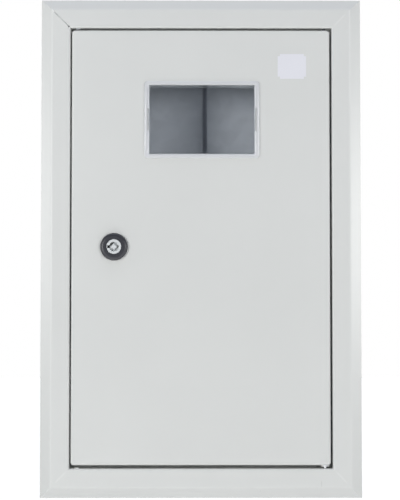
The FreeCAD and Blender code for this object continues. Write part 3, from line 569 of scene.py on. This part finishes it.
class METERBOX_OT_hinge_bushes(bpy.types.Operator):
    """Nylon for the hinge bushes and the plugs in the spare holes"""
    bl_idname = "meterbox.hinge_bushes"
    bl_label = "Hinge bushes and plugs"

    def execute(self, context):
        names = ["lower_hinge_bush", "upper_hinge_bush", "spare_hinge_plugs"]
        finish_nodes(names, natural_nylon(context.scene.meterbox_colours))
        return {"FINISHED"}


class METERBOX_OT_terminal_bars(bpy.types.Operator):
    """Brass for the terminal bars and moulded insulators under the neutral bar"""
    bl_idname = "meterbox.terminal_bars"
    bl_label = "Terminal bars"

    def execute(self, context):
        colours = context.scene.meterbox_colours
        blue = moulded_polyamide("blue_polyamide", colours.insulator_deep, colours.insulator, 0.45)
        finish_nodes(["earth_bar", "neutral_bar"], drawn_brass(colours))
        finish_nodes(["neutral_bar_insulators"], blue)
        return {"FINISHED"}


class METERBOX_OT_window(bpy.types.Operator):
    """Clear polycarbonate for the viewing window"""
    bl_idname = "meterbox.window"
    bl_label = "Viewing window"

    def execute(self, context):
        finish_nodes(["window"], clear_polycarbonate(context.scene.meterbox_colours))
        return {"FINISHED"}


class METERBOX_OT_lock(bpy.types.Operator):
    """Black housing and nickel-plated insert of the lock"""
    bl_idname = "meterbox.lock"
    bl_label = "Lock"

    def execute(self, context):
        colours = context.scene.meterbox_colours
        black = moulded_polyamide("black_polyamide", colours.lock_deep, colours.lock, 0.4)
        finish_nodes(["lock_housing"], black)
        finish_nodes(["lock_insert"], nickel_plate(colours))
        return {"FINISHED"}


class METERBOX_OT_label(bpy.types.Operator):
    """Stick a blank paper label on the door"""
    bl_idname = "meterbox.label"
    bl_label = "Blank label"

    def execute(self, context):
        sizes = context.scene.meterbox_sizes
        half_width, half_height = sizes.label_width / 2, sizes.label_height / 2
        form = bmesh.new()
        form.faces.new([form.verts.new((x * half_width, 0, z * half_height))
                        for x, z in ((-1, -1), (1, -1), (1, 1), (-1, 1))])
        bmesh.ops.bevel(form, geom=form.verts[:], offset=sizes.label_corner, segments=6,
                        affect="VERTICES")
        body = bmesh.ops.extrude_face_region(form, geom=form.faces[:])
        front = [item for item in body["geom"] if isinstance(item, bmesh.types.BMVert)]
        bmesh.ops.translate(form, verts=front, vec=(0, -sizes.label_thickness, 0))
        bmesh.ops.recalc_face_normals(form, faces=form.faces[:])
        mesh = bpy.data.meshes.new("blank_label")
        form.to_mesh(mesh)
        form.free()
        mesh.materials.append(coated_paper(context.scene.meterbox_colours))
        label = bpy.data.objects.new("blank_label", mesh)
        context.scene.collection.objects.link(label)
        door_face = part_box("door_panel")[0].y
        label.location = (sizes.label_x, door_face - sizes.label_gap, sizes.label_z)
        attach(label, "door")
        return {"FINISHED"}


class METERBOX_OT_stage(bpy.types.Operator):
    """Floor, light and camera of the studio"""
    bl_idname = "meterbox.stage"
    bl_label = "Studio"

    def execute(self, context):
        sizes = context.scene.meterbox_sizes
        context.scene.view_settings.view_transform = "Standard"
        self.make_floor(context, sizes)
        self.make_world(context, sizes)
        for name, place, size, share, colour in LAMPS:
            self.make_lamp(context, name, place, size, share * sizes.lamp_power, colour)
        self.make_camera(context, sizes)
        return {"FINISHED"}

    def shown_backdrop(self, tree):
        """Sockets that are 1 for rays that see the backdrop straight, and mirrored or through glass."""
        path = add_node(tree, "ShaderNodeLightPath")
        mirrored = add_node(tree, "ShaderNodeMath", {
            0: path.outputs["Is Glossy Ray"], 1: path.outputs["Is Transmission Ray"]},
            operation="MAXIMUM")
        return path.outputs["Is Camera Ray"], mirrored.outputs[0]

    def make_floor(self, context, sizes):
        """Pale floor below the box that keeps its shadow."""
        height = CAD_BOX[0][2] - sizes.floor_drop
        bpy.ops.mesh.primitive_plane_add(size=FLOOR_SIZE, location=(0, 0, height))
        floor = context.object
        floor.name = "floor"
        material, tree, shader, _ = new_finish("white_floor", {
            "Base Color": linear("#F0F0F0"), "Roughness": 0.9, "Emission Color": WHITE})
        seen, mirrored = self.shown_backdrop(tree)
        either = add_node(tree, "ShaderNodeMath", {0: seen, 1: mirrored}, operation="MAXIMUM")
        lift = add_node(tree, "ShaderNodeMath", {0: either.outputs[0], 1: FLOOR_LIFT},
                        operation="MULTIPLY")
        tree.links.new(lift.outputs[0], shader.inputs["Emission Strength"])
        floor.data.materials.append(material)

    def make_world(self, context, sizes):
        """White backdrop, and an even light on everything else."""
        world = bpy.data.worlds.new("studio")
        world.use_nodes = True
        context.scene.world = world
        tree = world.node_tree
        seen, mirrored = self.shown_backdrop(tree)
        # The backdrop is behind the box; the room in front of it is only as bright as the even light.
        direction = add_node(tree, "ShaderNodeTexCoord").outputs["Generated"]
        toward = add_node(tree, "ShaderNodeSeparateXYZ", {0: direction})
        behind = add_node(tree, "ShaderNodeMapRange", {
            "Value": toward.outputs["Y"], "From Max": BACKDROP_FADE})
        reflected = add_node(tree, "ShaderNodeMath", {0: mirrored, 1: behind.outputs["Result"]},
                             operation="MULTIPLY")
        white = add_node(tree, "ShaderNodeMath", {0: seen, 1: reflected.outputs[0]},
                         operation="MAXIMUM")
        strength = add_node(tree, "ShaderNodeMapRange", {
            "Value": white.outputs[0], "To Min": sizes.ambient, "To Max": 1.0})
        tint = add_node(tree, "ShaderNodeMix", {
            "Factor": white.outputs[0], "A": context.scene.meterbox_colours.ambient, "B": WHITE},
            data_type="RGBA")
        ground = tree.nodes["Background"]
        tree.links.new(tint.outputs["Result"], ground.inputs["Color"])
        tree.links.new(strength.outputs["Result"], ground.inputs["Strength"])

    def make_lamp(self, context, name, place, size, power, colour):
        """Soft rectangular lamp that faces the middle of the front."""
        lamp = bpy.data.lights.new(name, "AREA")
        lamp.shape = "RECTANGLE"
        lamp.size, lamp.size_y = size
        lamp.energy = power
        lamp.color = linear(colour)[:3]
        holder = bpy.data.objects.new(name, lamp)
        context.scene.collection.objects.link(holder)
        holder.location = place
        aim = Vector((0, CAD_BOX[0][1], 0)) - holder.location
        holder.rotation_euler = aim.to_track_quat("-Z", "Y").to_euler()

    def make_camera(self, context, sizes):
        """Camera in front of the box and a little below its middle, looking slightly up."""
        level = math.cos(CAMERA_PITCH)
        ahead = Vector((math.sin(CAMERA_YAW) * level, math.cos(CAMERA_YAW) * level,
                        math.sin(CAMERA_PITCH)))
        right = ahead.cross(Vector((0, 0, 1))).normalized()
        up = right.cross(ahead)
        lens = bpy.data.cameras.new("camera")
        lens.sensor_fit = "VERTICAL"
        lens.sensor_height = SENSOR_HEIGHT
        lens.lens = SENSOR_HEIGHT * FOCAL_PIXELS / IMAGE_HEIGHT
        holder = bpy.data.objects.new("camera", lens)
        context.scene.collection.objects.link(holder)
        turn = Matrix((right, up, -ahead)).transposed().to_4x4()
        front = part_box("front_frame")[0].y
        place = Matrix.Translation((CAMERA_X, front - sizes.camera_distance, CAMERA_Z))
        holder.matrix_world = place @ turn
        context.scene.camera = holder


class METERBOX_PT_sidebar(bpy.types.Panel):
    """Meter box pieces and studio"""
    bl_label = "Meter Box"
    bl_idname = "METERBOX_PT_sidebar"
    bl_space_type = "VIEW_3D"
    bl_region_type = "UI"
    bl_category = "Meter Box"

    def draw(self, context):
        for operator in OPERATORS:
            self.layout.operator(operator.bl_idname)
        for group in (context.scene.meterbox_colours, context.scene.meterbox_sizes):
            box = self.layout.box()
            for name in group.__annotations__:
                box.prop(group, name)


OPERATORS = (
    METERBOX_OT_painted_steel,
    METERBOX_OT_galvanised_steel,
    METERBOX_OT_plated_fittings,
    METERBOX_OT_hinge_bushes,
    METERBOX_OT_terminal_bars,
    METERBOX_OT_window,
    METERBOX_OT_lock,
    METERBOX_OT_label,
    METERBOX_OT_stage,
)
CLASSES = (MeterBoxColours, MeterBoxSizes) + OPERATORS + (METERBOX_PT_sidebar,)


def register():
    for item in CLASSES:
        bpy.utils.register_class(item)
    bpy.types.Scene.meterbox_colours = PointerProperty(type=MeterBoxColours)
    bpy.types.Scene.meterbox_sizes = PointerProperty(type=MeterBoxSizes)


def unregister():
    del bpy.types.Scene.meterbox_sizes
    del bpy.types.Scene.meterbox_colours
    for item in reversed(CLASSES):
        bpy.utils.unregister_class(item)


def main():
    register()
    bpy.ops.meterbox.painted_steel()
    bpy.ops.meterbox.galvanised_steel()
    bpy.ops.meterbox.plated_fittings()
    bpy.ops.meterbox.hinge_bushes()
    bpy.ops.meterbox.terminal_bars()
    bpy.ops.meterbox.window()
    bpy.ops.meterbox.lock()
    bpy.ops.meterbox.label()
    bpy.ops.meterbox.stage()


if __name__ == "__main__":
    main()
